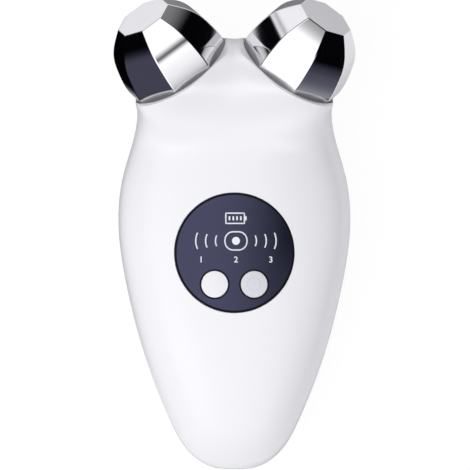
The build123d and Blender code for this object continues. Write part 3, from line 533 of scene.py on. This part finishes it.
def signs_tree():
    """Outlines, waves and bars of one stroke width, laid flat on the crowned window."""
    tree, given, leave = open_tree("printed_signs", {
        "Centre": (0.0, 0.0, 0.0), "Stroke": 0.00038, "Ink": 0.00004, "Battery": (0.0, 0.0, 0.0),
        "Battery width": 0.0049, "Battery height": 0.0027, "Bars": 4, "Bar spacing": 0.001,
        "Bar size": (0.0004, 0.0011, 0.00004), "Mark width": 0.0058, "Mark height": 0.0048,
        "Mark round": 0.0022, "Dot radius": 0.00105, "Waves": 3, "First wave": 0.0054,
        "Wave spacing": 0.0026, "First wave height": 0.0028, "Wave growth": 0.00073,
        "Window": "Object", "Material": "Material"})
    outline = rectangle(tree, given["Battery width"], given["Battery height"])
    battery = shift(tree, feed(tree, "GeometryNodeSubdivideCurve", {"Curve": outline, "Cuts": 6}),
                    given["Battery"])
    mark = feed(tree, "GeometryNodeFilletCurve", {
        0: rectangle(tree, given["Mark width"], given["Mark height"]), "Count": 10,
        "Radius": given["Mark round"]}, mode="POLY")
    # each wave is part of a circle, as tall as its turn asks; those on the left are these turned round
    half_turn = math.radians(26.3)
    starts = row(tree, given["Waves"], vector(tree, X=given["First wave"]),
                 vector(tree, X=given["Wave spacing"]))
    height = maths(tree, "MULTIPLY_ADD", feed(tree, "GeometryNodeInputIndex"), given["Wave growth"],
                   given["First wave height"])
    arc = feed(tree, "GeometryNodeCurveArc", {"Resolution": 17, "Radius": 1.0, "Start Angle": -half_turn,
                                              "Sweep Angle": 2 * half_turn}, mode="RADIUS")
    right = copies(tree, starts, shift(tree, arc, (-1.0, 0.0, 0.0)),
                   Scale=times(tree, height, 0.5 / math.sin(half_turn)))
    left = feed(tree, "GeometryNodeTransform", {"Geometry": right, "Rotation": (0.0, 0.0, math.pi)})
    strokes = sweep(tree, realized(tree, join(tree, right, left, mark, battery)),
                    rectangle(tree, given["Stroke"], given["Ink"]), caps=True)
    bar = box_shape(tree, given["Bar size"])
    bar_step = vector(tree, X=given["Bar spacing"])
    # the row of four bars starts a step and a half before the battery's middle
    first_bar = vector_maths(tree, "MULTIPLY_ADD", bar_step, (-1.5, 0.0, 0.0), given["Battery"])
    bars = copies(tree, row(tree, given["Bars"], first_bar, bar_step), bar)
    dot = rod(tree, 32, given["Dot radius"], given["Ink"])
    nub_out = maths(tree, "MULTIPLY_ADD", given["Battery width"], 0.5, given["Stroke"])
    nub = shift(tree, bar, vector_maths(tree, "ADD", vector(tree, X=nub_out), given["Battery"]))
    flat = realized(tree, join(tree, strokes, bars, dot, nub, given["Geometry"]))
    close_tree(tree, given, leave, lay_on_window(tree, flat, given))
    return tree


film_thickness = 0.04 * mm
sign_middle = 0.42 * mm
sign_above_centre = 3.15 * mm
number_row = -5.0 * mm
number_spacing = 9.2 * mm
number_size = 2.2 * mm
number_boldness = 0.03 * mm
printed_white = finish_material("printed_white", ((0.82, 0.82, 0.86), (0.88, 0.88, 0.92)),
                                roughness=0.45, spread=0.1, relief=0.1, edge=0.02, wear=0.0, dust=0.0)
numbers = bmesh.new()
for place, number in enumerate(("1", "2", "3")):
    type_block = bpy.data.curves.new(f"number_{number}", "FONT")
    type_block.body = number
    type_block.size = number_size
    type_block.align_x = type_block.align_y = "CENTER"
    type_block.extrude = film_thickness / 2
    type_block.offset = number_boldness
    type_block.resolution_u = 6
    letter = bpy.data.objects.new(type_block.name, type_block)
    letter_mesh = bpy.data.meshes.new_from_object(letter)
    letter_mesh.transform(Matrix.Translation(((place - 1) * number_spacing, number_row, 0)))
    numbers.from_mesh(letter_mesh)
    bpy.data.objects.remove(letter)
bmesh.ops.remove_doubles(numbers, verts=numbers.verts, dist=0.001 * mm)
number_mesh = bpy.data.meshes.new("numbers")
numbers.to_mesh(number_mesh)
numbers.free()
sign_centre = (window_centre.x + sign_middle, window_centre.y + sign_above_centre, window_high.z)
signs = grow("signs", signs_tree(), number_mesh, {
    "Centre": sign_centre, "Stroke": 0.36 * mm, "Ink": film_thickness, "Battery": (-0.22 * mm, 5.95 * mm, 0),
    "Bar size": (0.42 * mm, 1.07 * mm, film_thickness), "Window": window, "Material": printed_white})
stand_in(signs, "body", "white_plastic")

# black for the printed border and for the painted shadow round the button holes
printed_black = finish_material("printed_black", ((0.003, 0.003, 0.005), (0.005, 0.005, 0.008)),
                                roughness=0.6, spread=0.1, relief=0.1, edge=0.02, wear=0.0, dust=0.0)
fill(*inside_of(printed_black), {"Specular IOR Level": 0.15})
ring_tree = rings_tree()


def lay_ink_and_shadow_rings(name, places, radius, stroke):
    """Black rings on the window, at places from its centre: printed ink, and painted shadow of a gap."""
    points = bpy.data.meshes.new(f"{name}_points")
    points.from_pydata(places, [], [])
    rings = grow(name, ring_tree, points, {
        "Centre": window_centre, "Radius": radius, "Stroke": stroke, "Ink": film_thickness, "Window": window,
        "Material": printed_black})
    stand_in(rings, "body", "foam")


border_stroke = 0.46 * mm
border_margin = 0.08 * mm
lay_ink_and_shadow_rings("window_border", [(0, 0, 0)], window_radius - border_stroke / 2 - border_margin, border_stroke)
# painted shadow: black rings just outside the gap round both caps stand in for the shade in that gap
gap_shadow_stroke = 0.28 * mm
hole_gap = 0.16 * mm
cap_radius = 3.5 * mm
cap_places = [(sum(corners(f"{name}_keycap"), Vector()) / 2 - window_centre).xy.to_3d()
              for name in ("mode", "power")]
lay_ink_and_shadow_rings("button_rings", cap_places, cap_radius + hole_gap + gap_shadow_stroke / 2, gap_shadow_stroke)

# ---- Buttons -----------------------------------------------------------------------------------------
# Two press caps of satin white and pale grey ABS with a slightly domed top, each on its switch's
# plunger. The grey one has two darker rings on its top.


def ring_mark_group():
    """Mask of a ring about an upright axis: where the distance from the centre is near the radius."""
    tree, given, leave = open_group("ring_mark", {"Centre": (0.0, 0.0, 0.0), "Radius": 0.01,
                                                  "Half width": 0.0005}, {"Mask": "Float"})
    offset = vector_maths(tree, "SUBTRACT", object_place(tree), given["Centre"])
    level = vector_maths(tree, "MULTIPLY", offset, (1.0, 1.0, 0.0))
    distance = vector_maths(tree, "LENGTH", level)
    fill(tree, leave, {"Mask": maths(tree, "COMPARE", distance, given["Radius"], given["Half width"])})
    return tree


def fed_by(shader, name):
    """The socket that feeds a shader's input."""
    return shader.inputs[name].links[0].from_socket


ring_mark = ring_mark_group()


def print_ring(material, centre, radius, half_width, colour, share):
    """Prints a ring on a finished material, over its surface colour."""
    tree, shader = inside_of(material)
    ring = feed(tree, "ShaderNodeGroup", {"Centre": centre, "Radius": radius, "Half width": half_width},
                node_tree=ring_mark)
    printed = blend(tree, times(tree, ring, share), fed_by(shader, "Base Color"), colour,
                    label="printed ring")
    fill(tree, shader, {"Base Color": printed})


cap_white = finish_material("cap_white", ((0.845, 0.845, 0.865), (0.87, 0.87, 0.89)),
                            roughness=0.36, spread=0.06, relief=0.12, edge=0.25, wear=0.3, dust=0.1)
cap_grey = finish_material("cap_grey", ((0.655, 0.655, 0.70), (0.69, 0.69, 0.735)),
                           roughness=0.34, spread=0.06, relief=0.12, edge=0.25, wear=0.3, dust=0.1)
grey_centre = sum(corners("power_keycap"), Vector()) / 2
print_ring(cap_grey, grey_centre, radius=1.75 * mm, half_width=0.12 * mm, colour=(0.56, 0.56, 0.61),
           share=0.7)
print_ring(cap_grey, grey_centre, radius=0.5 * mm, half_width=0.10 * mm, colour=(0.58, 0.58, 0.63),
           share=0.6)
dress(cap_white, "mode_keycap")
dress(cap_grey, "power_keycap")

# ---- Rollers -----------------------------------------------------------------------------------------
# Faceted shells, eight facets round and bowed along the axle, with a flat end. Each is cast in zinc,
# polished and chromed, so the edges between its facets are a little round.


def bow(places, radii, wanted):
    """Radii on the smooth line through the given ones: a natural cubic spline, solved in one go."""
    places, radii, wanted = map(np.asarray, (places, radii, wanted))
    gaps = np.diff(places)
    slopes = np.diff(radii) / gaps
    system = np.eye(len(places))
    right_side = np.zeros(len(places))
    for k in range(1, len(places) - 1):
        system[k, k - 1:k + 2] = gaps[k - 1], 2 * (gaps[k - 1] + gaps[k]), gaps[k]
        right_side[k] = 6 * (slopes[k] - slopes[k - 1])
    bend = np.linalg.solve(system, right_side)
    k = np.clip(np.searchsorted(places, wanted) - 1, 0, len(gaps) - 1)
    ahead, behind = places[k + 1] - wanted, wanted - places[k]
    return ((bend[k] * ahead**3 + bend[k + 1] * behind**3) / (6 * gaps[k])
            + (radii[k] / gaps[k] - bend[k] * gaps[k] / 6) * ahead
            + (radii[k + 1] / gaps[k] - bend[k + 1] * gaps[k] / 6) * behind)


def faceted_shell_tree():
    """Turns a profile about the upright axis, with as many sections as there are facets.

    The hoop's own frame points down, so a place along the axle is given as a drop below its plane.
    """
    tree, given, leave = open_tree("faceted_shell", {"Facets": 8, "Bore": 0.000001, "Weld": 0.00001,
                                                     "Material": "Material"})
    outline = feed(tree, "GeometryNodeMeshToCurve", {0: given["Geometry"]})
    turned = sweep(tree, circle(tree, given["Facets"], given["Bore"]), outline)
    welded = feed(tree, "GeometryNodeMergeByDistance", {"Geometry": turned, "Distance": given["Weld"]})
    close_tree(tree, given, leave, feed(tree, "GeometryNodeSetShadeSmooth", {"Geometry": welded}))
    return tree


facet_count = 8
shell_places = (-10.4, -8.0, -5.0, -2.0, 1.0, 7.0, 12.1)
shell_inradii = (11.6, 13.1, 13.75, 13.65, 13.2, 11.25, 7.05)
shell_wall = 0.9
end_wall_from = 8.0
section_count = 44
edge_round = 0.30
flattest_edge = math.radians(25)
polish_depth = 0.03
polished_chrome = finish_material("polished_chrome", ((0.84, 0.84, 0.855), (0.88, 0.88, 0.895)),
                                  roughness=0.05, spread=0.03, relief=0.01, metal=1.0, edge=0.05, wear=0.1,
                                  dust=0.15)
# the profile runs down the outside from the middle of the flat end, and back up inside the wall
sections = np.linspace(shell_places[-1], shell_places[0], section_count)
outside = [(place, radius - polish_depth)
           for place, radius in zip(sections, bow(shell_places, shell_inradii, sections))]
cavity_wall = shell_wall - polish_depth
inside = [(place - shell_wall * (place > end_wall_from), radius - cavity_wall)
          for place, radius in reversed(outside)]
profile = [(outside[0][0], 0), *outside, *inside, (inside[-1][0], 0)]
corner_ratio = 1 / math.cos(math.pi / facet_count)
shell_tree = faceted_shell_tree()
for side in ("left", "right"):
    profile_mesh = bpy.data.meshes.new(f"{side}_profile")
    profile_mesh.from_pydata([(radius * corner_ratio * mm, -place * mm, 0) for place, radius in profile],
                             [(k, k + 1) for k in range(len(profile) - 1)], [])
    roller = grow(f"{side}_roller", shell_tree, profile_mesh, {"Facets": facet_count,
                                                               "Material": polished_chrome})
    spin = joints[f"{side}_roller_spin"]
    axle = Vector(spin["axis"]).normalized()
    lean = math.atan2(axle.z, axle.y)
    head_normal = Vector((0, -math.sin(lean), math.cos(lean)))
    across = axle.cross(head_normal).normalized()
    stand = Matrix((across, axle.cross(across), axle)).transposed().to_4x4()
    roller.data.transform(Matrix.Translation(spin["pos_m"]) @ stand)
    edges = roller.modifiers.new("polished_edges", "BEVEL")
    edges.width = edge_round * mm
    edges.segments = 3
    edges.limit_method = "ANGLE"
    edges.angle_limit = flattest_edge
    edges.harden_normals = True
    stand_in(roller, f"{side}_roller", "chrome", f"{side}_roller_shell")

# ---- Roller hubs and axles ---------------------------------------------------------------------------
# A turned aluminium hub in each shell runs on two bronze bushes and a ground steel axle, held by a clip.
# A nylon ring closes the shell's back, and a rubber seal and a nut hold the axle in the bracket.


def turned_marks_group():
    """Fine rings left by a lathe round an axle, as a shade and a normal."""
    tree, given, leave = open_group("turned_marks", {"Centre": (0.0, 0.0, 0.0), "Axle": (0.0, 0.0, 1.0),
                                                     "Rings per metre": 9000.0, "Depth": 0.3,
                                                     "Normal": (0.0, 0.0, 1.0)},
                                    {"Shade": "Float", "Normal": "Vector"})
    offset = vector_maths(tree, "SUBTRACT", object_place(tree), given["Centre"])
    along_axle = vector_maths(tree, "DOT_PRODUCT", offset, given["Axle"])
    nearest = feed(tree, "ShaderNodeVectorMath", {0: given["Axle"], "Scale": along_axle},
                   operation="SCALE")
    travel = maths(tree, "ADD", along_axle, vector_maths(tree, "DISTANCE", offset, nearest))
    rings = feed(tree, "ShaderNodeTexNoise", {"W": travel, "Detail": 2.0,
                                              "Scale": given["Rings per metre"]}, noise_dimensions="1D")
    fill(tree, leave, {"Shade": rings, "Normal": raised_normal(tree, rings, given["Depth"], 0.02 * mm,
                                                               given["Normal"])})
    return tree


turned_marks = turned_marks_group()
mark_shine = (0.85, 0.85, 0.85)


def turn_marks(material, centre, axle):
    """Adds lathe marks round an axle to a finished metal."""
    tree, shader = inside_of(material)
    marks = put(tree, "ShaderNodeGroup", {"Centre": centre, "Axle": axle,
                                          "Normal": fed_by(shader, "Normal")},
                node_tree=turned_marks).outputs
    bright = blend(tree, times(tree, marks["Shade"], 0.3), fed_by(shader, "Base Color"), mark_shine)
    fill(tree, shader, {"Base Color": bright, "Normal": marks["Normal"]})


dark_nylon = finish_material("dark_nylon", ((0.022, 0.022, 0.024), (0.034, 0.034, 0.036)),
                             roughness=0.52, spread=0.12, relief=0.5)
seal_rubber = finish_material("seal_rubber", ((0.017, 0.017, 0.018), (0.028, 0.028, 0.028)),
                              roughness=0.72, spread=0.1, relief=0.5, dust=0.5)
metals = {"alloy": (((0.68, 0.69, 0.71), (0.76, 0.77, 0.78)), 0.28, ("roller_hub",)),
          "bronze": (((0.48, 0.30, 0.12), (0.57, 0.38, 0.17)), 0.34, ("front_bush", "rear_bush")),
          "steel": (((0.55, 0.56, 0.58), (0.62, 0.63, 0.65)), 0.24, ("axle", "axle_clip", "axle_nut"))}
for side in ("left", "right"):
    spin = joints[f"{side}_roller_spin"]
    for metal, (colours, roughness, names) in metals.items():
        turned = finish_material(f"{side}_turned_{metal}", colours, roughness, spread=0.1, relief=0.2,
                                 metal=1.0, edge=0.1)
        turn_marks(turned, spin["pos_m"], spin["axis"])
        dress(turned, *(f"{side}_{name}" for name in names))
    dress(dark_nylon, f"{side}_base_ring")
    dress(seal_rubber, f"{side}_axle_seal")

# ---- Roller bracket ----------------------------------------------------------------------------------
# One moulding of glass-filled nylon holds both axles in its sockets, and a brass tag under each nut
# takes the current to the roller. It is screwed to three posts of the rear shell.
glass_nylon = finish_material("glass_nylon", ((0.030, 0.030, 0.033), (0.045, 0.045, 0.048)),
                              roughness=0.45, spread=0.2, relief=0.8, grain=1600.0)
tag_brass = finish_material("tag_brass", ((0.58, 0.42, 0.17), (0.68, 0.52, 0.24)),
                            roughness=0.3, spread=0.12, relief=0.2, metal=1.0, edge=0.08)
dress(glass_nylon, "roller_bracket")
dress(tag_brass, "left_terminal", "right_terminal")

# ---- Leads -------------------------------------------------------------------------------------------
# Stranded copper in red silicone sleeves, soldered at both ends. The leads run from the board to the
# two tags, and from the cell to the board.
lead_silicone = finish_material("lead_silicone", ((0.42, 0.022, 0.016), (0.52, 0.035, 0.024)),
                                roughness=0.42, spread=0.1, relief=0.3, grain=6000.0, edge=0.05)
dress(lead_silicone, "left_lead", "right_lead", "battery_leads")

# ---- Main board --------------------------------------------------------------------------------------
# Glass-fibre board with green solder mask over copper tracks, which stand out a little under it, and
# with tinned pads. It carries the controller, the coil, the socket, the switches and the lights.
board_mask = finish_material("board_mask", ((0.012, 0.11, 0.055), (0.018, 0.135, 0.07)),
                             roughness=0.3, spread=0.08, relief=0.1, edge=0.08)
board, board_shader = inside_of(board_mask)
board_place = object_place(board)
tracks = put(board, "ShaderNodeTexBrick", {"Vector": board_place, "Scale": 260.0, "Mortar Size": 0.09,
                                          "Mortar Smooth": 0.1, "Brick Width": 1.7,
                                          "Row Height": 0.42}).outputs["Fac"]
pads = feed(board, "ShaderNodeTexVoronoi", {"Vector": board_place, "Scale": 330.0, "Randomness": 0.35})
pad_share = ramp(board, pads, 0.17, 0.14)
over_track = blend(board, times(board, tracks, 0.7), fed_by(board_shader, "Base Color"), (0.05, 0.24, 0.11))
fill(board, board_shader, {
    "Base Color": blend(board, pad_share, over_track, (0.72, 0.71, 0.68)), "Metallic": pad_share,
    "Normal": raised_normal(board, tracks, 0.4, 0.04 * mm, fed_by(board_shader, "Normal"))})
dress(board_mask, "main_board")

chip_epoxy = finish_material("chip_epoxy", ((0.016, 0.016, 0.017), (0.024, 0.024, 0.026)),
                             roughness=0.5, spread=0.1, relief=0.5, grain=5000.0, edge=0.1)
chip_low, chip_high = corners("microcontroller")
dot_inset = 0.9 * mm
print_ring(chip_epoxy, (chip_low.x + dot_inset, chip_high.y - dot_inset, chip_high.z),
           radius=0.12 * mm, half_width=0.12 * mm, colour=(0.30, 0.30, 0.30), share=0.9)
dress(chip_epoxy, "microcontroller")
socket_steel = finish_material("socket_steel", ((0.58, 0.58, 0.59), (0.68, 0.68, 0.69)),
                               roughness=0.22, spread=0.12, relief=0.15, metal=1.0, edge=0.1)
dress(socket_steel, "usb_socket")
dress(dark_nylon, "usb_tongue")

# the coil's ferrite drum, with enamelled copper wire wound round its waist between two flanges
drum_ferrite = finish_material("drum_ferrite", ((0.030, 0.030, 0.033), (0.050, 0.050, 0.054)),
                               roughness=0.6, spread=0.1, relief=0.5, grain=4000.0)
drum_low, drum_high = corners("boost_coil")
flange = 0.70 * mm
flange_edge = 0.04 * mm
drum, drum_shader = inside_of(drum_ferrite)
drum_place = object_place(drum)
drum_level = put(drum, "ShaderNodeSeparateXYZ", {0: drum_place}).outputs["Z"]
wound = patch(drum, (drum_level, drum_low.z + flange, drum_low.z + flange + flange_edge),
              (drum_level, drum_high.z - flange, drum_high.z - flange - flange_edge))
wire = put(drum, "ShaderNodeTexWave", {"Vector": drum_place, "Scale": 640.0, "Distortion": 0.4},
           wave_type="BANDS", bands_direction="Z").outputs["Fac"]
copper = blend(drum, wire, (0.20, 0.06, 0.02), (0.62, 0.26, 0.10))
fill(drum, drum_shader, {"Base Color": blend(drum, wound, fed_by(drum_shader, "Base Color"), copper),
                         "Metallic": wound})
dress(drum_ferrite, "boost_coil")

# ---- Switches and lights -----------------------------------------------------------------------------
# Two tactile switches with sliding plungers under the buttons, and twelve lights in the wells of a
# black shield, under a sheet of opal diffuser.
switch_plastic = finish_material("switch_plastic", ((0.020, 0.020, 0.021), (0.030, 0.030, 0.032)),
                                 roughness=0.4, spread=0.1, relief=0.3, edge=0.1)
light_phosphor = finish_material("light_phosphor", ((0.86, 0.78, 0.42), (0.92, 0.85, 0.52)),
                                 roughness=0.25, spread=0.1, relief=0.1, coat=0.6, edge=0.05, wear=0.0)
opal_sheet = finish_material("opal_sheet", ((0.84, 0.84, 0.82), (0.90, 0.90, 0.88)),
                             roughness=0.55, spread=0.08, relief=0.3, grain=3000.0, edge=0.05)
dress(switch_plastic, "mode_switch", "power_switch", "mode_plunger", "power_plunger", "light_shield")
dress(light_phosphor, "status_leds")
dress(opal_sheet, "diffuser")

# ---- Cell --------------------------------------------------------------------------------------------
# A lithium pouch cell in aluminium foil, which creases where it is folded and sealed. It lies on a pad
# of foam between two ribs of the rear shell.
pouch_foil = finish_material("pouch_foil", ((0.62, 0.63, 0.65), (0.74, 0.75, 0.77)),
                             roughness=0.3, spread=0.15, relief=0.2, metal=1.0, edge=0.5)
foil, foil_shader = inside_of(pouch_foil)
creases = noise(foil, 210.0, 5.0, {"Distortion": 1.6}, noise_type="RIDGED_MULTIFRACTAL")
fill(foil, foil_shader, {
    "Normal": raised_normal(foil, creases, 0.5, 0.05 * mm, fed_by(foil_shader, "Normal"))})
dress(pouch_foil, "battery_cell")
pad_foam = finish_material("pad_foam", ((0.045, 0.045, 0.048), (0.075, 0.075, 0.08)),
                           roughness=0.9, spread=0.1, relief=1.0, grain=2200.0, wear=0.0)
dress(pad_foam, "battery_pad")

# ---- Screws ------------------------------------------------------------------------------------------
# Zinc-plated pan-head screws with cross recesses and cut threads: two that pull the shells together,
# four that hold the board from below, and three in the bracket.


def screw_tree():
    """A screw at every point of a mesh: domed head, cross recess, shank, point and thread."""
    tree, given, leave = open_tree("pan_head_screw", {
        "Head radius": 0.0019, "Head height": 0.0013, "Shank radius": 0.00095, "Shank length": 0.014,
        "Pitch": 0.0009, "Turn": (0.0, 0.0, 0.0), "Material": "Material"})

    def part_of(label, share):
        return times(tree, given[label], share)

    def raised(geometry, height):
        return shift(tree, geometry, vector(tree, Z=height))

    def cone(sides, top, bottom, height):
        return feed(tree, "GeometryNodeMeshCone", {"Vertices": sides, "Radius Top": top,
                                                   "Radius Bottom": bottom, "Depth": height})

    head = cone(32, part_of("Head radius", 0.8), given["Head radius"], given["Head height"])
    for long_side, short_side, level in ((1.15, 0.26, 0.95), (0.26, 1.15, 0.93)):
        size = vector(tree, X=part_of("Head radius", long_side), Y=part_of("Head radius", short_side),
                      Z=given["Head height"])
        slot = raised(box_shape(tree, size), part_of("Head height", level))
        head = feed(tree, "GeometryNodeMeshBoolean", {"Mesh 1": head, "Mesh 2": slot},
                    operation="DIFFERENCE")
    tip = part_of("Shank radius", 1.2)
    plain_length = maths(tree, "SUBTRACT", given["Shank length"], tip)
    shank = rod(tree, 20, given["Shank radius"], plain_length)
    point = cone(20, given["Shank radius"], part_of("Shank radius", 0.4), tip)
    threaded = maths(tree, "SUBTRACT", plain_length, given["Pitch"])
    helix = feed(tree, "GeometryNodeCurveSpiral", {
        "Resolution": 14, "Rotations": maths(tree, "DIVIDE", threaded, given["Pitch"]),
        "Start Radius": given["Shank radius"], "End Radius": given["Shank radius"], "Height": threaded})
    thread = sweep(tree, helix, circle(tree, 3, part_of("Pitch", 0.16)), caps=True)
    screw = join(tree, head, raised(shank, times(tree, plain_length, -0.5)),
                 raised(point, part_of("Shank length", -1.0)),
                 raised(thread, times(tree, plain_length, -1.0)))
    close_tree(tree, given, leave, copies(tree, given["Geometry"], screw, Rotation=given["Turn"]))
    return tree


zinc_steel = finish_material("zinc_steel", ((0.58, 0.59, 0.61), (0.68, 0.69, 0.70)),
                             roughness=0.26, spread=0.12, relief=0.2, metal=1.0, edge=0.08)
pan_head_screw = screw_tree()


def fit_screws(node, places, turn, sizes):
    """Screws in place of a CAD node, at the places under their heads; sizes are in mm."""
    points = bpy.data.meshes.new(node)
    points.from_pydata(places, [], [])
    screws = grow(f"{node}_threaded", pan_head_screw, points, {
        **{label: size * mm for label, size in sizes.items()}, "Turn": turn, "Material": zinc_steel})
    stand_in(screws, "body", "steel", node)


long_screw = {"Head radius": 1.9, "Head height": 1.3, "Shank radius": 0.95, "Shank length": 14.0,
              "Pitch": 0.9}
short_screw = {"Head radius": 1.7, "Head height": 1.1, "Shank radius": 0.75, "Shank length": 5.5,
               "Pitch": 0.7}
housing_low, housing_high = corners("housing_screws")
long_head, long_rise = long_screw["Head radius"] * mm, long_screw["Head height"] * mm
fit_screws("housing_screws", [(x, (housing_low.y + housing_high.y) / 2, housing_high.z - long_rise)
                              for x in (housing_low.x + long_head, housing_high.x - long_head)],
           (0.0, 0.0, 0.0), long_screw)
board_low, board_high = corners("board_screws")
short_head, short_rise = short_screw["Head radius"] * mm, short_screw["Head height"] * mm
fit_screws("board_screws", [(x, y, board_low.z + short_rise)
                            for x in (board_low.x + short_head, board_high.x - short_head)
                            for y in (board_low.y + short_head, board_high.y - short_head)],
           (math.pi, 0.0, 0.0), short_screw)
bracket_lean = math.radians(31)
bracket_middle = Vector((0, 44.93, 23.83)) * mm
bracket_up = Vector((0, math.cos(bracket_lean), math.sin(bracket_lean)))
bracket_front = Vector((0, -math.sin(bracket_lean), math.cos(bracket_lean)))
plate_front = -8.0 * mm
post_places = ((-12.1, -17.0), (12.1, -17.0), (0, -13.2))
fit_screws("bracket_screws", [bracket_middle + Vector((sideward * mm, 0, 0)) + bracket_up * level * mm
                              + bracket_front * plate_front for sideward, level in post_places],
           (bracket_lean, 0.0, 0.0), {**short_screw, "Shank length": 3.3})
